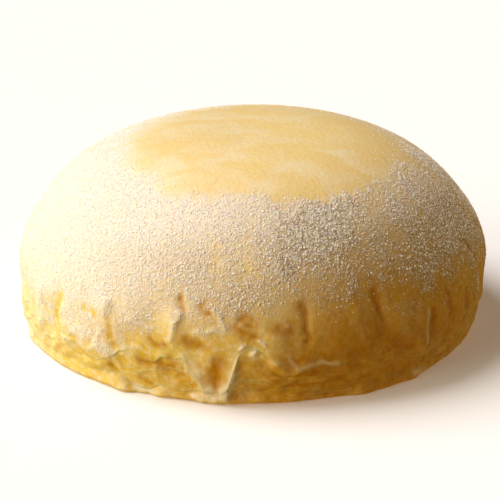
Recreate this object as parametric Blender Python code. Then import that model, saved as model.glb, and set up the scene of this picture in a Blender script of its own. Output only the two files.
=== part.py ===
"""A whole domed mille crepe cake, uncut.

The stack of crepes and cream is one solid body. Three crepes are draped over it,
and each hangs a little lower than the one above it, so three ragged hems and the
crumpled foot of the stack show round the base. Every crepe runs right over the dome.
The cake stands on its flat bottom at z = 0, with its centre line on the Z axis.
"""

import math
import random
from collections import namedtuple

import bpy
import bmesh
from mathutils import Vector, noise

MM = 0.001

# The smooth form that the pleats grow out of.
BELLY_R = 90 * MM  # widest radius of the cake
BELLY_Z = 25.4 * MM  # height of the widest level
FOOT_R = 86 * MM  # radius where the cake meets the plate
HEIGHT = 75 * MM  # top of the dome
CROWN = 2.97  # how flat the top is: the exponent of the radius
SHOULDER = 1.66  # how round the shoulder is: the exponent of the height

# The draped crepes, with their depth under the smooth form.
COVER_INNER = 1.8 * MM
SECOND_OUTER = 2.15 * MM
SECOND_INNER = 3.2 * MM
THIRD_OUTER = 3.55 * MM
THIRD_INNER = 4.6 * MM
STACK_OUTER = 4.95 * MM
CREPE = 1.1 * MM  # thickness of one crepe with its cream, at a hem
LIP = 2.5 * MM  # height over which a hem is thinned to one crepe
VALLEY = 1.0 * MM  # deepest valley between two pleats of the cover
TUCK = 0.8 * MM  # a crepe starts to swell this far under the hem above it
SWELL = 3 * MM  # and is swollen this much lower

# Rings of points: how many, and where.
FINE = 120  # points round a ring that shows pleats
MIDDLE = 60  # points round a ring of the smooth dome
COARSE = 40  # points round a ring inside the cake
PLEATS_Z = 42 * MM  # pleats run from here down
JOIN_Z = 30 * MM  # the hidden rings are coarse from here up
SIDE_ROWS = 9  # rings from PLEATS_Z down to the hem of the cover
DOME_ROWS = (8, 18, 27, 36, 45, 53, 61)  # degrees from the pole, smooth dome
HIDDEN_ROWS = (18, 38, 54, 68)  # degrees from the pole, inside the cake

Fold = namedtuple("Fold", "angle low high width height")
Lobe = namedtuple("Lobe", "angle left right drop roundness")
Dent = namedtuple("Dent", "angle z width reach height")

# Angles are in degrees, 0 at +X, -90 at the front (-Y). A fold stands out of the
# crepe, or is a crease where its height is negative.
FRONT_FOLDS = (
    Fold(-172.0, 14, 26, 3.0, 0.9),
    Fold(-161.0, 14, 30, 2.2, -0.8),
    Fold(-150.0, 12, 27, 2.6, 0.9),
    Fold(-139.5, 22, 30, 1.8, -1.0),
    Fold(-126.0, 15, 34, 3.0, 0.9),
    Fold(-119.5, 23, 30, 1.8, -1.0),
    Fold(-107.8, 24, 33, 2.0, 1.1),
    Fold(-107.5, 32, 39, 2.4, -0.8),
    Fold(-95.2, 6, 20, 2.2, 1.2),
    Fold(-84.0, 15, 27, 3.0, 0.7),
    Fold(-60.6, 26, 37, 1.9, -1.2),
    Fold(-56.0, 18, 32, 3.4, 0.8),
    Fold(-47.5, 12, 28, 2.4, 1.2),
    Fold(-43.5, 12, 28, 2.0, -0.9),
    Fold(-33.0, 10, 26, 3.0, 0.9),
    Fold(-22.5, 33, 43, 2.2, -1.0),
)
# A lobe of a hem hangs by its drop below the hem's own level, or is a notch where
# the drop is negative. Its roundness is 1 for a pointed tongue, and more for a
# rounder one. Left and right are its reach on each side, in degrees.
HEM_Z = 17 * MM
FRONT_LOBES = (
    Lobe(-180.0, 11, 9, -4.0, 2.0),
    Lobe(-165.0, 7, 6, 2.0, 2.5),
    Lobe(-152.0, 7, 6, 3.5, 2.5),
    Lobe(-141.0, 6, 5, 4.0, 2.5),
    Lobe(-128.0, 6, 7, 6.0, 2.5),
    Lobe(-114.5, 5, 4, 3.0, 3.0),
    Lobe(-99.0, 7, 3.5, 11.5, 1.3),
    Lobe(-90.0, 6, 6, -4.5, 2.0),
    Lobe(-75.0, 9, 13, 3.5, 3.5),
    Lobe(-54.5, 7, 6, -5.0, 2.0),
    Lobe(-40.0, 8, 10, 6.5, 2.0),
)
FRONT = (-188, -30)  # the folds and lobes between these angles are the ones above
BACK_PLEATS = 15
BACK_LOBES = 14

SECOND_HEM_Z = 9.5 * MM
THIRD_HEM_Z = 5.2 * MM
LOWEST_HEM_Z = 2.6 * MM  # a draped crepe stays this clear of the plate

# Where the whole side leans out of the round form or into it: a height in mm, spread
# over a width in degrees and a reach in mm.
DENTS = (
    Dent(178, 46, 42, 12, -1.7),
    Dent(180, 20, 26, 8, -1.2),
    Dent(184, 7, 34, 6, 1.0),
    Dent(2, 38, 35, 9, 1.0),
    Dent(60, 30, 30, 14, -0.9),
    Dent(118, 40, 36, 16, 0.9),
)
LEAN = 0.009  # the top is this much higher for each metre towards +X

# The foot of the stack spreads over the plate, most at one angle.
FOOT_SPREAD = 5.1 * MM
FOOT_LEAN = 1.5 * MM
FOOT_ANGLE = -145
# Lips of crepe that the foot pushes out over the plate.
FOOT_LIPS = (
    Fold(-118.0, 0, 3, 5.0, 2.6),
    Fold(-99.0, 0, 3, 4.0, 1.5),
    Fold(-61.0, 0, 3, 9.0, 2.6),
    Fold(-47.5, 0, 3, 4.0, 3.0),
    Fold(20.0, 0, 3, 4.0, 1.6),
    Fold(66.0, 0, 3, 6.0, 2.0),
    Fold(131.0, 0, 3, 4.0, 2.4),
)


def clear_scene():
    for item in list(bpy.data.objects):
        bpy.data.objects.remove(item, do_unlink=True)


def smooth(start, end, value):
    """0 before start, 1 past end, and an even rise between them."""
    share = min(max((value - start) / (end - start), 0.0), 1.0)
    return share * share * (3 - 2 * share)


def turn_between(angle, other):
    """Degrees from other to angle, from -180 to 180."""
    return (angle - other + 180) % 360 - 180


def uneven(angle, height, size, seed):
    """Even noise from -1 to 1 on the side of the cake, with bumps of the given size."""
    turn = math.radians(angle)
    spot = Vector((BELLY_R * math.cos(turn), BELLY_R * math.sin(turn), height))
    return noise.noise(spot / size + Vector((seed * 7.3, seed * 3.1, seed * 5.7)))


# The smooth form.


def form_radius(angle, z, depth=0.0):
    """Radius of the form at a place on the side, or of a skin at a depth under it."""
    if z < BELLY_Z:
        tucked = (BELLY_Z - z) / BELLY_Z
        swell = math.sqrt(max(1 - tucked * tucked, 0.0))
        radius = FOOT_R + (BELLY_R - FOOT_R) * swell - depth
    else:
        rise = min((z - BELLY_Z) / (HEIGHT - depth - BELLY_Z), 1.0)
        radius = (BELLY_R - depth) * (1 - rise**SHOULDER) ** (1 / CROWN)
    return radius + side_lean(angle, z)


def dome_point(angle, row, depth=0.0):
    """Point of the form, row degrees from the pole along its meridian."""
    lift = math.radians(90 - row)
    radius = (BELLY_R - depth) * math.cos(lift) ** (2 / CROWN)
    z = BELLY_Z + (HEIGHT - depth - BELLY_Z) * math.sin(lift) ** (2 / SHOULDER)
    point = on_side(angle, radius + side_lean(angle, z), z)
    point.z += LEAN * point.x * smooth(PLEATS_Z, HEIGHT, z)
    return point


def side_point(angle, z, depth):
    return on_side(angle, form_radius(angle, z, depth), z)


def on_side(angle, radius, z):
    turn = math.radians(angle)
    return Vector((radius * math.cos(turn), radius * math.sin(turn), z))


# Pleats and hems.


def back_folds():
    """Soft pleats round the sides and the back, where the view from the front ends."""
    draw = random.Random(11)
    start = FRONT[1]
    step = (360 - (FRONT[1] - FRONT[0])) / BACK_PLEATS
    folds = []
    for number in range(BACK_PLEATS):
        angle = start + step * (number + draw.uniform(0.25, 0.75))
        low = draw.uniform(8, 16)
        high = draw.uniform(25, 38)
        width = draw.uniform(1.8, 3.4)
        height = draw.choice((-1, 1, 1)) * draw.uniform(0.6, 1.2)
        folds.append(Fold(angle, low, high, width, height))
    return folds


def back_lobes():
    draw = random.Random(23)
    start = FRONT[1]
    step = (360 - (FRONT[1] - FRONT[0])) / BACK_LOBES
    lobes = []
    for number in range(BACK_LOBES):
        angle = start + step * (number + draw.uniform(0.2, 0.8))
        left = step * draw.uniform(0.45, 0.8)
        right = step * draw.uniform(0.45, 0.8)
        drop = draw.choice((-4, 2, 4, 5, 7, 9)) + draw.uniform(-1, 1)
        roundness = draw.uniform(1.3, 3.5)
        lobes.append(Lobe(angle, left, right, drop, roundness))
    return lobes


FOLDS = list(FRONT_FOLDS) + back_folds()
LOBES = list(FRONT_LOBES) + back_lobes()


def lobe_drop(lobe, angle):
    """How far one lobe hangs at an angle, with a cusp at each end."""
    away = turn_between(angle, lobe.angle)
    share = abs(away) / (lobe.right if away > 0 else lobe.left)
    return lobe.drop * MM * (1 - min(share, 1.0) ** lobe.roundness)


def cover_hem(angle):
    """Height of the cover's hem."""
    drops = [lobe_drop(lobe, angle) for lobe in LOBES]
    ragged = 0.8 * MM * uneven(angle, 0.0, 6 * MM, 2)
    return HEM_Z - max(drops) - min(drops) + ragged


def second_hem(angle):
    wave = 5.5 * MM * uneven(angle, 0.0, 15 * MM, 3)
    ragged = 1.8 * MM * uneven(angle, 0.0, 7 * MM, 4)
    return max(SECOND_HEM_Z + wave + ragged, LOWEST_HEM_Z + 1.5 * MM)


def third_hem(angle):
    wave = 3.6 * MM * uneven(angle, 0.0, 13 * MM, 5)
    ragged = 1.2 * MM * uneven(angle, 0.0, 8 * MM, 6)
    return max(THIRD_HEM_Z + wave + ragged, LOWEST_HEM_Z)


def fold_height(fold, angle, z):
    """How far one fold stands out at a place on the side."""
    away = turn_between(angle, fold.angle) / fold.width
    if abs(away) > 3:
        return 0.0
    fade = 5 * MM
    low = fold.low * MM
    high = fold.high * MM
    along = smooth(low - fade, low, z) * (1 - smooth(high - fade / 2, high + fade, z))
    return fold.height * MM * math.exp(-away * away) * along


def side_lean(angle, z):
    """How far the whole side leans out of the round form."""
    total = 0.0
    for dent in DENTS:
        across = turn_between(angle, dent.angle) / dent.width
        along = (z / MM - dent.z) / dent.reach
        total += dent.height * MM * math.exp(-across * across - along * along)
    return total


def cover_relief(angle, z):
    """Folds, broad lobes and the flared hem of the cover, out of the smooth form."""
    hem = cover_hem(angle)
    pleated = 1 - smooth(22 * MM, PLEATS_Z, z)
    broad = 1.4 * MM * uneven(angle, z * 0.4, 24 * MM, 7)
    soft = 1.3 * MM * uneven(angle, z * 0.35, 9 * MM, 8)
    folds = sum(fold_height(fold, angle, z) for fold in FOLDS)
    flare = 0.7 * MM * (1 - smooth(0.0, 4 * MM, z - hem))
    relief = pleated * (broad + soft) + folds + dome_relief(angle, z)
    return max(relief, -VALLEY) + flare


def dome_relief(angle, z):
    return 0.5 * MM * uneven(angle, z, 40 * MM, 9)


def layer_relief(angle, z, free_z, swell, seed):
    """Swelling and crumples of an inner crepe, below free_z where it comes free."""
    free = smooth(TUCK, TUCK + SWELL, free_z - z)
    slant = z / MM * 0.7
    crumple = 1.9 * MM * uneven(angle + slant, z * 0.5, 8 * MM, seed)
    fine = 0.8 * MM * uneven(angle - slant, z, 5 * MM, seed + 1)
    return free * (swell + crumple + fine)


def foot_relief(angle, z, free_z):
    """The stack's crumpled foot, with its lips."""
    lips = sum(fold_height(lip, angle, z) for lip in FOOT_LIPS)
    most = math.cos(math.radians(angle - FOOT_ANGLE))
    spread = FOOT_SPREAD + FOOT_LEAN * most + lips
    spread *= smooth(0.3, 1.0, 1 - z / free_z)
    return spread + layer_relief(angle, z, free_z, 0.0, 31)


# Rings and lofts.


def ring(count, point_at):
    return [point_at(360 * number / count) for number in range(count)]


def dome_rings(rows, count, depth):
    """Rings of the smooth form from the pole down."""
    return [ring(count, lambda a, r=row: dome_point(a, r, depth)) for row in rows]


def pole(depth=0.0):
    return [Vector((0, 0, HEIGHT - depth))]


def join_two(mesh, upper, lower):
    """Triangles between two rings, whatever their counts."""
    many = len(upper)
    more = len(lower)
    if many == 1:
        for j in range(more):
            mesh.faces.new((upper[0], lower[j], lower[(j + 1) % more]))
        return
    if more == 1:
        for i in range(many):
            mesh.faces.new((upper[i], lower[0], upper[(i + 1) % many]))
        return
    i = 0
    j = 0
    while i < many or j < more:
        step_upper = i < many and (j >= more or (i + 0.5) * more < (j + 0.5) * many)
        a = upper[i % many]
        b = lower[j % more]
        if step_upper:
            mesh.faces.new((a, b, upper[(i + 1) % many]))
            i += 1
        else:
            mesh.faces.new((a, b, lower[(j + 1) % more]))
            j += 1


def loft(name, rings, material, collection):
    """One closed body through rings of points. The first and last are single points."""
    mesh = bmesh.new()
    corners = [[mesh.verts.new(point) for point in points] for points in rings]
    for upper, lower in zip(corners, corners[1:]):
        join_two(mesh, upper, lower)
    bmesh.ops.recalc_face_normals(mesh, faces=mesh.faces)
    data = bpy.data.meshes.new(name)
    mesh.to_mesh(data)
    mesh.free()
    data.shade_smooth()
    data.set_sharp_from_angle(angle=math.radians(50))
    data.materials.append(material)
    body = bpy.data.objects.new(name, data)
    collection.objects.link(body)
    return body


# The sub-parts.


def cover_rings():
    """The outermost crepe: smooth dome, pleated side, ragged hem, then back inside."""
    rings = [pole()]
    rings += [ring(COARSE, lambda a: dome_point(a, DOME_ROWS[0]))]
    for row in DOME_ROWS[1:]:
        rings.append(ring(MIDDLE, lambda a, r=row: relieved_dome(a, r)))
    for number in range(SIDE_ROWS):
        share = 1 - (number / (SIDE_ROWS - 1)) ** 0.85
        rings.append(ring(FINE, lambda a, s=share: cover_side(a, s)))
    rings.append(ring(FINE, cover_lip))
    rings.append(ring(FINE, cover_inside))
    rings += hidden_rings(COVER_INNER)
    return rings


def relieved_dome(angle, row):
    point = dome_point(angle, row)
    away = Vector((point.x, point.y, 0)).normalized()
    return point + away * dome_relief(angle, point.z)


def cover_side(angle, share):
    """Point of the outer side, from the hem at share 0 to the dome at share 1."""
    hem = cover_hem(angle)
    z = hem + (PLEATS_Z - hem) * share
    return on_side(angle, form_radius(angle, z) + cover_relief(angle, z), z)


def cover_lip(angle):
    hem = cover_hem(angle)
    radius = form_radius(angle, hem) + cover_relief(angle, hem) - CREPE
    return on_side(angle, radius, hem + 0.15 * MM)


def cover_inside(angle):
    hem = cover_hem(angle)
    levels = [hem + LIP * step for step in (1, 2, 4)]
    relief = min(cover_relief(angle, z) for z in levels)
    z = levels[0]
    radius = form_radius(angle, z) + max(relief - CREPE, -COVER_INNER)
    return on_side(angle, radius, z)


def hidden_rings(depth):
    """Coarse rings of an inner face, from the side up to the pole."""
    rings = [ring(COARSE, lambda a: side_point(a, JOIN_Z, depth))]
    rings += dome_rings(reversed(HIDDEN_ROWS), COARSE, depth)
    rings.append(pole(depth))
    return rings


def inner_crepe_rings(outer, inner, hem_at, free_at, swell, seed):
    """A crepe under the cover. free_at gives the lowest hem that hangs over it."""

    def outer_point(angle, z):
        relief = layer_relief(angle, z, free_at(angle), swell, seed)
        return form_radius(angle, z, outer) + relief

    def row(angle, share):
        hem = hem_at(angle)
        top = max(free_at(angle) - TUCK, hem + 1.2 * MM)
        z = hem + (top - hem) * share
        return on_side(angle, outer_point(angle, z), z)

    def lip(angle):
        hem = hem_at(angle)
        return on_side(angle, outer_point(angle, hem) - CREPE, hem + 0.15 * MM)

    def inside(angle):
        hem = hem_at(angle)
        z = hem + LIP
        least = min(outer_point(angle, z), outer_point(angle, z + LIP))
        least = min(least - CREPE, form_radius(angle, z, inner) + swell)
        return on_side(angle, max(least, form_radius(angle, z, inner)), z)

    rings = list(reversed(hidden_rings(outer)))
    for share in (1, 0.72, 0.44, 0.18, 0):
        rings.append(ring(FINE, lambda a, s=share: row(a, s)))
    rings.append(ring(FINE, lip))
    rings.append(ring(FINE, inside))
    return rings + hidden_rings(inner)


def stack_rings():
    """The solid stack: hidden dome, crumpled foot, flat bottom."""

    def free_at(angle):
        return min(cover_hem(angle), second_hem(angle), third_hem(angle))

    def row(angle, share):
        free = free_at(angle)
        z = (free - TUCK) * share
        radius = form_radius(angle, z, STACK_OUTER) + foot_relief(angle, z, free)
        return on_side(angle, radius, z)

    def under(angle):
        point = row(angle, 0)
        return Vector((point.x, point.y, 0)) * (1 - 1.2 * MM / BELLY_R)

    rings = list(reversed(hidden_rings(STACK_OUTER)))
    for share in (1, 0.75, 0.5, 0.22):
        rings.append(ring(FINE, lambda a, s=share: row(a, s)))
    rings.append(ring(FINE, under))
    rings.append([Vector((0, 0, 0))])
    return rings


def crepe_material(name, colour, roughness):
    material = bpy.data.materials.new(name)
    material.use_nodes = True
    shader = material.node_tree.nodes["Principled BSDF"]
    shader.inputs["Base Color"].default_value = (*colour, 1.0)
    shader.inputs["Roughness"].default_value = roughness
    shader.inputs["Metallic"].default_value = 0.0
    return material


def build():
    clear_scene()
    collection = bpy.data.collections.new("mille_crepe_cake")
    bpy.context.scene.collection.children.link(collection)
    sugared = crepe_material("crepe_sugared", (0.80, 0.66, 0.38), 0.6)
    moist = crepe_material("crepe_moist", (0.66, 0.42, 0.13), 0.45)
    foot = crepe_material("crepe_foot", (0.56, 0.31, 0.07), 0.45)

    def over_third(angle):
        return min(cover_hem(angle), second_hem(angle))

    second = inner_crepe_rings(
        SECOND_OUTER, SECOND_INNER, second_hem, cover_hem, 1.4 * MM, 41
    )
    third = inner_crepe_rings(
        THIRD_OUTER, THIRD_INNER, third_hem, over_third, 2.3 * MM, 51
    )
    loft("crepe_cover", cover_rings(), sugared, collection)
    loft("crepe_second", second, moist, collection)
    loft("crepe_third", third, moist, collection)
    loft("crepe_stack", stack_rings(), foot, collection)


build()
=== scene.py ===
# %% [markdown]
# # A domed mille crepe cake
#
# A mille crepe cake is a pile of thin, soft pancakes with a little cream between them. This one was built
# up in a bowl, so that it has a dome, and whole crepes were draped over it. The top is smooth and bare, the
# shoulder is dusted with powdered sugar, the side falls in soft pleats, and the ragged edges of the crepes
# show at the foot.
#
# The solids of the cake are loaded first. They fix its size and form, and everything below is a finer
# version of them.

# %% Load the solids
import math
import random

import bpy
import numpy as np
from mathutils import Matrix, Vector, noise


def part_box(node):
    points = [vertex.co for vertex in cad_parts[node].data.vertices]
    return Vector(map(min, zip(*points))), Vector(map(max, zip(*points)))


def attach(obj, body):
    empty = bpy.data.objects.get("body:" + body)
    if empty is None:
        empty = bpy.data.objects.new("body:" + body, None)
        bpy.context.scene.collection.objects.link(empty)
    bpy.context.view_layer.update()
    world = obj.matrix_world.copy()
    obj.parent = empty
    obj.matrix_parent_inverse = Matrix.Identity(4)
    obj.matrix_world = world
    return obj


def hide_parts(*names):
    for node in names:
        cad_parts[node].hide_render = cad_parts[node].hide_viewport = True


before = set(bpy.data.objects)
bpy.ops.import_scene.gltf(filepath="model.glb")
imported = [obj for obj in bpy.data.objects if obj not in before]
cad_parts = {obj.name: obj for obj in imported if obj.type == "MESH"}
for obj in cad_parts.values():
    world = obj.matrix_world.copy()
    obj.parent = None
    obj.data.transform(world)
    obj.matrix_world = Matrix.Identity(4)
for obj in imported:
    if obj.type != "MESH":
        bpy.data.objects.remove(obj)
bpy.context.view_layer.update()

print("solids:", sorted(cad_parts))

# %% [markdown]
# ## The sizes of the cake
#
# The form is a turned one, but not a ball: the top is flat and the shoulder round, which a superellipse
# gives with one exponent for the radius and one for the height. Below the widest level a quarter of an
# ellipse tucks the side in. Heights are measured from its flat bottom. The top comes from the solids.

# %% The smooth form
MM = 0.001
BELLY_R = 90 * MM
BELLY_Z = 25.4 * MM
FOOT_R = 86 * MM
HEIGHT = round(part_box("crepe_cover")[1].z, 4)
CROWN = 2.97
SHOULDER = 1.66
LEAN = 0.009
PLEATS_Z = 42 * MM
JOIN_Z = 30 * MM
print(f"height {HEIGHT / MM:.1f} mm, widest radius {BELLY_R / MM:.0f} mm")


def smooth(start, end, value):
    """0 before start, 1 past end, and an even rise between them."""
    share = np.clip((value - start) / (end - start), 0.0, 1.0)
    return share * share * (3 - 2 * share)


def turn_between(angle, other):
    """Degrees from other to angle, from -180 to 180."""
    return (angle - other + 180) % 360 - 180


def near_angle(angle, middle, width):
    """1 at the middle angle, less away from it."""
    return np.exp(-((turn_between(angle, middle) / width) ** 2))


def in_spot(angle, z, spot):
    """1 in the middle of a spot, less outwards. A spot has an angle, a height and its reach both ways."""
    across = turn_between(angle, spot[0]) / spot[2]
    along = (z / MM - spot[1]) / spot[3]
    return np.exp(-across * across - along * along)


def uneven(angle, height, size, seed):
    """Even noise from -1 to 1 on the side of the cake, with bumps of a size in millimetres."""
    turn = np.radians(angle)
    size = size * MM
    spots = np.broadcast_arrays(
        BELLY_R * np.cos(turn) / size + seed * 7.3,
        BELLY_R * np.sin(turn) / size + seed * 3.1,
        np.asarray(height) / size + seed * 5.7,
    )
    found = [noise.noise(spot) for spot in zip(*(axis.ravel().tolist() for axis in spots))]
    return np.array(found).reshape(spots[0].shape)


# %% [markdown]
# ## Where the side leans
#
# No cake made by hand is quite round. Six broad dents and swellings push the whole side in or out by up to
# two millimetres. Each has an angle in degrees, a height in millimetres, how far it spreads both ways, and
# how far it pushes the side out.

# %% Dents, and the radius of the form
DENTS = (
    (178, 46, 42, 12, -1.7),
    (180, 20, 26, 8, -1.2),
    (184, 7, 34, 6, 1.0),
    (2, 38, 35, 9, 1.0),
    (60, 30, 30, 14, -0.9),
    (118, 40, 36, 16, 0.9),
)
print(len(DENTS), "dents and swellings")


def side_lean(angle, z):
    return sum(dent[4] * MM * in_spot(angle, z, dent) for dent in DENTS)


def form_radius(angle, z, depth=0.0):
    """Radius of the form at a place on the side, or of a skin at a depth under it."""
    tucked = np.clip((BELLY_Z - z) / BELLY_Z, 0.0, 1.0)
    below = FOOT_R + (BELLY_R - FOOT_R) * np.sqrt(1 - tucked * tucked) - depth
    rise = np.clip((z - BELLY_Z) / (HEIGHT - depth - BELLY_Z), 0.0, 1.0)
    above = (BELLY_R - depth) * (1 - rise**SHOULDER) ** (1 / CROWN)
    return np.where(z < BELLY_Z, below, above) + side_lean(angle, z)


def dome_point(angle, row, depth=0.0):
    """Radius and height of the form, row degrees from the pole along its meridian."""
    lift = math.radians(90 - row)
    level = BELLY_Z + (HEIGHT - depth - BELLY_Z) * math.sin(lift) ** (2 / SHOULDER)
    radius = (BELLY_R - depth) * math.cos(lift) ** (2 / CROWN) + side_lean(angle, level)
    sideways = radius * np.cos(np.radians(angle))
    return radius, level + LEAN * sideways * smooth(PLEATS_Z, HEIGHT, level)


# %% [markdown]
# ## Pleats and creases
#
# The draped crepe is a flat round sheet, so it has too much edge for the side and gathers in soft pleats. A
# pleat here is a ridge across the side with a round section, and a crease is the same with a negative
# height. Those that face the viewer are placed one by one: angle, lowest and highest point, width in
# degrees and height in millimetres. The rest follow by a seeded rule.

# %% Folds
FRONT = (-188, -30)
FRONT_FOLDS = (
    (-174, 12, 28, 5, 0.6),
    (-160, 14, 30, 2.6, -0.6),
    (-150, 12, 27, 2.6, 0.9),
    (-126, 15, 34, 3, 0.9),
    (-107.8, 24, 33, 2, 1.1),
    (-84, 15, 27, 3, 0.7),
    (-77.6, 23, 37, 1.3, -0.5),
    (-69, 21, 33, 6.5, 0.9),
    (-59.6, 26, 38, 1.2, -0.5),
    (-54.5, 18, 32, 3.4, 0.8),
    (-47.5, 12, 28, 2.4, 1.2),
    (-33, 10, 26, 3, 0.9),
)
BACK_PLEATS = 15


def round_the_back(count, draw, least):
    """An angle in each of count parts of the back, with the width of a part."""
    step = (360 - (FRONT[1] - FRONT[0])) / count
    for number in range(count):
        yield FRONT[1] + step * (number + draw.uniform(least, 1 - least)), step


def back_folds():
    draw = random.Random(11)
    for angle, _ in round_the_back(BACK_PLEATS, draw, 0.25):
        low = draw.uniform(8, 16)
        high = draw.uniform(25, 38)
        width = draw.uniform(1.8, 3.4)
        yield angle, low, high, width, draw.choice((-1, 1, 1)) * draw.uniform(0.6, 1.2)


FOLDS = FRONT_FOLDS + tuple(back_folds())
print(len(FOLDS), "pleats and creases")


def fold_height(fold, angle, z):
    """How far one fold stands out at a place on the side."""
    middle, low, high, width, height = fold
    away = turn_between(angle, middle) / width
    fade = 5 * MM
    along = smooth(low * MM - fade, low * MM, z)
    along = along * (1 - smooth(high * MM - fade / 2, high * MM + fade, z))
    return np.where(np.abs(away) > 3, 0.0, height * MM * np.exp(-away * away) * along)


# %% [markdown]
# ## The hems
#
# The edge of a draped crepe hangs in lobes with sharp notches between them. A lobe is the curve
# `1 - share ** n`, which is a tongue for n near 1 and a broad apron for n of 3 or more. The hem hangs as
# low as the deepest lobe at each angle, plus a little raggedness. A lobe is given by its angle, how far it
# reaches to both sides in degrees, how far it hangs in millimetres, and n. The two crepes below it have
# wavy hems made of noise alone.

# %% Lobes
HEM_Z = 17 * MM
SECOND_HEM_Z = 9.5 * MM
THIRD_HEM_Z = 5.2 * MM
LOWEST_THIRD_Z = 2.6 * MM
LOWEST_SECOND_Z = LOWEST_THIRD_Z + 1.5 * MM
SECOND_WAVES = ((5.5, 15), (1.8, 7))
THIRD_WAVES = ((3.6, 13), (1.2, 8))
LOWEST_COVER_Z = 4.6 * MM
FRONT_LOBES = (
    (-180, 11, 9, -4, 2.0),
    (-165, 7, 6, 2, 2.5),
    (-152, 7, 6, 3.5, 2.5),
    (-141, 6, 5, 4, 2.5),
    (-128, 6, 7, 6, 2.5),
    (-114.5, 5, 4, 3, 3.0),
    (-97.6, 7.6, 4.8, 14.5, 2.0),
    (-90, 6, 6, -4.5, 2.0),
    (-75, 9, 13, 3.5, 3.5),
    (-54.5, 7, 6, -5, 2.0),
    (-40, 8, 10, 6.5, 2.0),
)
BACK_LOBES = 14


def back_lobes():
    draw = random.Random(23)
    for angle, step in round_the_back(BACK_LOBES, draw, 0.2):
        left = step * draw.uniform(0.45, 0.8)
        right = step * draw.uniform(0.45, 0.8)
        drop = draw.choice((-4, 2, 4, 5, 7, 9)) + draw.uniform(-1, 1)
        yield angle, left, right, drop, draw.uniform(1.3, 3.5)


LOBES = FRONT_LOBES + tuple(back_lobes())
print(len(LOBES), "lobes of the cover's hem")


def lobe_drop(lobe, angle):
    """How far one lobe hangs at an angle, with a cusp at each end."""
    middle, left, right, drop, roundness = lobe
    away = turn_between(angle, middle)
    share = np.abs(away) / np.where(away > 0, right, left)
    return drop * MM * (1 - np.minimum(share, 1.0) ** roundness)


def rugged(angle):
    """How crumpled the side is. Right of the middle and at the far left it hangs smooth."""
    return 1 - 0.65 * near_angle(angle, -52, 36) - 0.6 * near_angle(angle, -176, 18)


def cover_hem(angle):
    drops = np.array([lobe_drop(lobe, angle) for lobe in LOBES])
    ragged = 0.9 * MM * uneven(angle, 0.0, 6, 2)
    torn = rugged(angle) + 0.9 * near_angle(angle, -98, 7)
    ragged = ragged + 1.1 * MM * torn * uneven(angle, 0.0, 2.6, 12)
    return np.maximum(HEM_Z - drops.max(axis=0) - drops.min(axis=0), LOWEST_COVER_Z) + ragged


def wavy_hem(angle, middle, lowest, waves, seed):
    """A hem of noise. waves gives the height and the size of each wave in millimetres."""
    for number, (height, size) in enumerate(waves):
        middle = middle + height * MM * uneven(angle, 0.0, size, seed + number)
    return np.maximum(middle, lowest)


# %% [markdown]
# ## Relief
#
# On a moist crepe fine wrinkles run over the broad swellings. They are real shape and not only shading, so
# that the low light from the left catches them. The longest lobe in front has folded into a tongue: it has
# a curved rim and a hollow beside it, which get a function of their own.

# %% Wrinkles and the tongue
VALLEY = 1.0 * MM
SLANT = 1.2
COARSE_WRINKLE = 0.20 * MM
FINE_WRINKLE = 0.10 * MM
POCKET_RIM = 0.3 * MM
POCKET_DEEP = 0.5 * MM


def dome_relief(angle, z):
    return 0.5 * MM * uneven(angle, z, 40, 9)


def wrinkles(angle, z, size, seed):
    """Narrow ridges that wander down to the right, from 0 to 1."""
    bend = 3 * uneven(angle, z, 14, seed)
    along = angle + SLANT * z / MM + bend
    ridge = np.exp(-((uneven(along, z * 0.5, size, seed + 1) / 0.13) ** 2))
    return ridge * smooth(-0.2, 0.35, uneven(angle, z, 9, seed + 2))


def all_wrinkles(angle, z, seed):
    coarse = COARSE_WRINKLE * wrinkles(angle, z, 6, seed)
    return coarse + FINE_WRINKLE * wrinkles(angle, z, 3, seed + 5)


POCKET = (-97.6, 12.5, 1.9, 5.5)
POCKET_EDGE = (
    (3.0, -97.5),
    (4.4, -96.5),
    (8.0, -95.7),
    (11.4, -95.1),
    (14.6, -94.0),
    (17.0, -93.2),
    (19.0, -93.4),
    (20.4, -94.2),
    (22.0, -95.8),
)
print(f"the tongue's rim rises to {POCKET_EDGE[-1][0]:.0f} mm")


def pocket(angle, z):
    """The folded tongue of the hem: its relief, its curved rim and the hollow left of the rim."""
    heights, turns = zip(*POCKET_EDGE)
    rim = turn_between(angle, np.interp(z / MM, heights, turns))
    low = smooth(3 * MM, 6 * MM, z) * (1 - smooth(19 * MM, 22 * MM, z))
    hollow = in_spot(angle, z, POCKET)
    rim = low * np.exp(-((rim / 1.4) ** 2))
    return POCKET_RIM * rim - POCKET_DEEP * hollow, rim, hollow
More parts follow.
